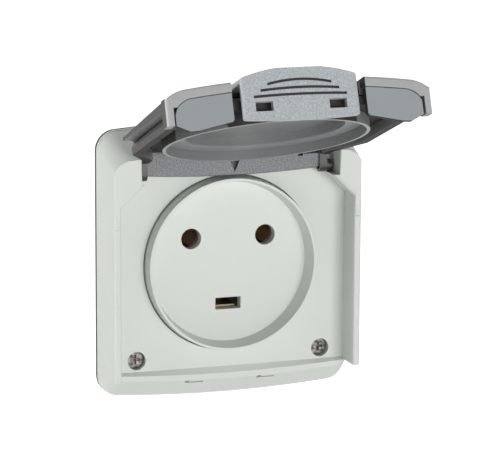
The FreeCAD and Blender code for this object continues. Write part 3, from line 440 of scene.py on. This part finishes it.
# Faces with a look of their own: a test and the look. The first test that holds counts. Every one
# of these looks is painted shade or painted light, a darker or lighter copy of its part's own
# colour
PATCHES = {
    "housing": [(is_catch, "catch_grey")],
    "latch": [(is_groove, "groove_dark")],
    "lid_shell": [(is_slot_wall, "groove_dark"), (is_lid_end, "shell_end_grey"),
                  (is_knuckle, "knuckle_grey"), (is_hinge_wall, "grained_grey"),
                  (is_side, "side_grey")],
    "lid_liner": [(is_slot_wall, "groove_dark"), (is_lid_end, "end_grey"),
                  (is_ceiling, "ceiling_brown"), (is_rib_edge, "rib_edge_grey"),
                  (is_flank, "side_grey")],
    "lid_seal": [(is_rib_edge, "rib_edge_grey")],
}


def rim_rounding(first, second, sides):
    """The rounding of the frame's front edges, with a bevel below the right corner's gusset."""
    if max(abs(first.y + RIM_DEPTH), abs(second.y + RIM_DEPTH)) > RIM_SLACK:
        return 0
    normals = [side.normal for side in sides]
    if any(abs(normal.x) > A_LITTLE and normal.z > A_LITTLE for normal in normals):
        return 0
    if any(abs(normal.x) > PARTLY and abs(normal.z) > PARTLY for normal in normals):
        return GUSSET_BEVEL if first.x > 0 else RIM_INNER_ROUND
    if any(abs(normal.x) > ALONG for normal in normals):
        return RIM_ROUND if abs(first.x) > RIM_OUTSIDE else RIM_INNER_ROUND
    return 0


def lid_rounding(first, second, sides):
    """The rounding of the lid shell's upright corners and of its end's upper edge."""
    at_end = min(-first.y, -second.y) >= LID_END_START
    if not at_end or not any(side.normal.dot(LID_END) > ALONG for side in sides):
        return 0
    if any(abs(side.normal.x) > ALONG and abs(centre_of(side).x) > LEG_MIDDLE for side in sides):
        return LID_CORNER_ROUND
    if any(side.normal.z > PARTLY for side in sides):
        return LID_TOP_ROUND
    return 0


def latch_rounding(first, second, sides):
    """The rounding of the edges of the latch's two sides."""
    at_side = min(abs(first.x), abs(second.x)) > LATCH_SIDE
    if at_side and any(abs(side.normal.x) > ALONG for side in sides):
        return LATCH_ROUND
    return 0


# Edges with a wider rounding: a function that gives its width from an edge's ends and faces
ROUNDINGS = {
    "housing": rim_rounding,
    "lid_shell": lid_rounding,
    "latch": latch_rounding,
}

# The look of a node's wide roundings, where it isn't that of the faces beside them: on the lid
# shell the lighter end look, a painted highlight
WIDE_EDGE_LOOKS = {"lid_shell": "shell_end_grey"}


def mark_edges(mesh, rule):
    """Write each chosen edge's width as its bevel weight, and return the widest."""
    widths = [rule(*(vertex.co / MM for vertex in edge.verts), edge.link_faces)
              for edge in mesh.edges]
    widest = max(widths)
    layer = mesh.edges.layers.float.new("bevel_weight_edge")
    for edge, width in zip(mesh.edges, widths):
        edge[layer] = width / widest
    return widest


def patch_faces(mesh, patches):
    """Give each chosen face the index of its own material, and the others index 0."""
    for face in mesh.faces:
        face.material_index = 0
        for index, (test, _) in enumerate(patches):
            if test(face):
                face.material_index = index + 1
                break


def close_corner(mesh):
    """Bring the left edge of the lid's end face nearer to the corner leg, to narrow the gap."""
    rise = LID_END.cross(Vector((-1, 0, 0))) * SHOULDER_LIFT * MM
    for vertex in mesh.verts:
        if vertex.co.x < -LINER_CORNER * MM and vertex.co.y < -LID_END_START * MM:
            vertex.co.x = -LINER_REACH * MM
            if vertex.co.z > LINER_SHOULDER * MM:
                vertex.co += rise


def add_bevel(piece, name, width_mm, segments, method):
    """A rounding modifier of the given width, also returned."""
    bevel = piece.modifiers.new(name, "BEVEL")
    bevel.width = width_mm * MM
    bevel.segments = segments
    bevel.limit_method = method
    bevel.angle_limit = SHARP_ANGLE
    bevel.harden_normals = True
    bevel.miter_outer = "MITER_ARC"
    bevel.use_clamp_overlap = method == "ANGLE"
    return bevel


def dressed(name, look, edge_mm):
    """A copy of a CAD node with merged faces and softened edges, which stands for the node."""
    patches = PATCHES.get(name, [])
    mesh = bmesh.new()
    mesh.from_mesh(nodes[name].data)
    bmesh.ops.remove_doubles(mesh, verts=mesh.verts, dist=WELD_DISTANCE * MM)
    bmesh.ops.dissolve_limit(mesh, angle_limit=MERGE_ANGLE, verts=mesh.verts, edges=mesh.edges)
    if name == "lid_liner":
        close_corner(mesh)
    for face in mesh.faces:
        face.smooth = True
    patch_faces(mesh, patches)
    widest = mark_edges(mesh, ROUNDINGS[name]) if name in ROUNDINGS else 0
    data = bpy.data.meshes.new(name + "_dressed")
    mesh.to_mesh(data)
    mesh.free()
    for own in [look] + [patch_look for _, patch_look in patches]:
        data.materials.append(looks[own])
    piece = bpy.data.objects.new(name + "_dressed", data)
    bpy.context.scene.collection.objects.link(piece)
    if widest > 0:
        wide = add_bevel(piece, "wide_edges", widest, WIDE_SEGMENTS, "WEIGHT")
        wide.material = data.materials.find(WIDE_EDGE_LOOKS.get(name, ""))
    add_bevel(piece, "edges", edge_mm, SEGMENTS, "ANGLE")
    data.set_sharp_from_angle(angle=SHARP_ANGLE)
    flat = piece.modifiers.new("flat_faces", "WEIGHTED_NORMAL")
    flat.keep_sharp = True
    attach(piece, body_of_node[name])
    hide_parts(name)


def add_camera():
    """The camera at the photograph's viewing angle."""
    yaw = math.radians(VIEW_YAW)
    rise = math.radians(VIEW_RISE)
    roll = math.radians(VIEW_ROLL)
    back = Vector((-math.sin(yaw) * math.cos(rise), -math.cos(yaw) * math.cos(rise),
                   math.sin(rise)))
    right = Vector((math.cos(yaw), -math.sin(yaw), 0))
    up = back.cross(right)
    turned_right = right * math.cos(roll) + up * math.sin(roll)
    turned_up = up * math.cos(roll) - right * math.sin(roll)
    place = (Vector(VIEW_TARGET) + back * VIEW_DISTANCE) * MM
    data = bpy.data.cameras.new("camera")
    data.lens = VIEW_LENS
    data.sensor_width = SENSOR_WIDTH
    data.clip_start = CLIP_START
    camera = bpy.data.objects.new("camera", data)
    turn = Matrix((turned_right, turned_up, back)).transposed().to_4x4()
    camera.matrix_world = Matrix.Translation(place) @ turn
    bpy.context.scene.collection.objects.link(camera)
    bpy.context.scene.camera = camera


def add_lamp(name, place, width, power):
    """A soft square lamp that points at the object."""
    data = bpy.data.lights.new(name, "AREA")
    data.shape = "SQUARE"
    data.size = width
    data.energy = power
    lamp = bpy.data.objects.new(name, data)
    lamp.location = place
    aim = Vector(LAMP_AIM) - Vector(place)
    lamp.rotation_euler = aim.to_track_quat("-Z", "Y").to_euler()
    bpy.context.scene.collection.objects.link(lamp)


def add_world():
    """Soft light from all around, and white behind the object."""
    world = bpy.data.worlds.new("studio")
    bpy.context.scene.world = world
    world.use_nodes = True
    tree = world.node_tree
    tree.nodes.clear()
    path = tree.nodes.new("ShaderNodeLightPath")
    seen = path.outputs["Is Camera Ray"]
    for ray in ("Is Transmission Ray", "Is Glossy Ray"):
        either = tree.nodes.new("ShaderNodeMath")
        either.operation = "MAXIMUM"
        tree.links.new(seen, either.inputs[0])
        tree.links.new(path.outputs[ray], either.inputs[1])
        seen = either.outputs[0]
    mix = tree.nodes.new("ShaderNodeMixShader")
    tree.links.new(seen, mix.inputs["Fac"])
    for index, strength in ((1, SOFT_LIGHT), (2, 1.0)):
        light = tree.nodes.new("ShaderNodeBackground")
        light.inputs["Color"].default_value = WHITE
        light.inputs["Strength"].default_value = strength
        tree.links.new(light.outputs[0], mix.inputs[index])
    output = tree.nodes.new("ShaderNodeOutputWorld")
    tree.links.new(mix.outputs[0], output.inputs["Surface"])


def add_floor():
    """A pale floor below the socket."""
    material, tree, shader = new_material("floor")
    shader.inputs["Base Color"].default_value = FLOOR_COLOUR
    shader.inputs["Roughness"].default_value = FLOOR_ROUGHNESS
    path = tree.nodes.new("ShaderNodeLightPath")
    glow = tree.nodes.new("ShaderNodeMath")
    glow.operation = "MULTIPLY_ADD"
    glow.inputs[1].default_value = FLOOR_SEEN
    glow.inputs[2].default_value = FLOOR_GLOW
    tree.links.new(path.outputs["Is Camera Ray"], glow.inputs[0])
    shader.inputs["Emission Color"].default_value = WHITE
    tree.links.new(glow.outputs[0], shader.inputs["Emission Strength"])
    corners = ((-1, -1), (1, -1), (1, 1), (-1, 1))
    mesh = bpy.data.meshes.new("floor")
    mesh.from_pydata([(x * FLOOR_HALF, y * FLOOR_HALF, FLOOR_LEVEL) for x, y in corners],
                     [], [(0, 1, 2, 3)])
    mesh.materials.append(material)
    floor = bpy.data.objects.new("floor", mesh)
    bpy.context.scene.collection.objects.link(floor)


for node_name in nodes:
    dressed(node_name, *FINISHES[node_name])
add_camera()
add_world()
add_floor()
for lamp_name, settings in LAMPS.items():
    add_lamp(lamp_name, *settings)
bpy.context.scene.view_settings.view_transform = "Standard"
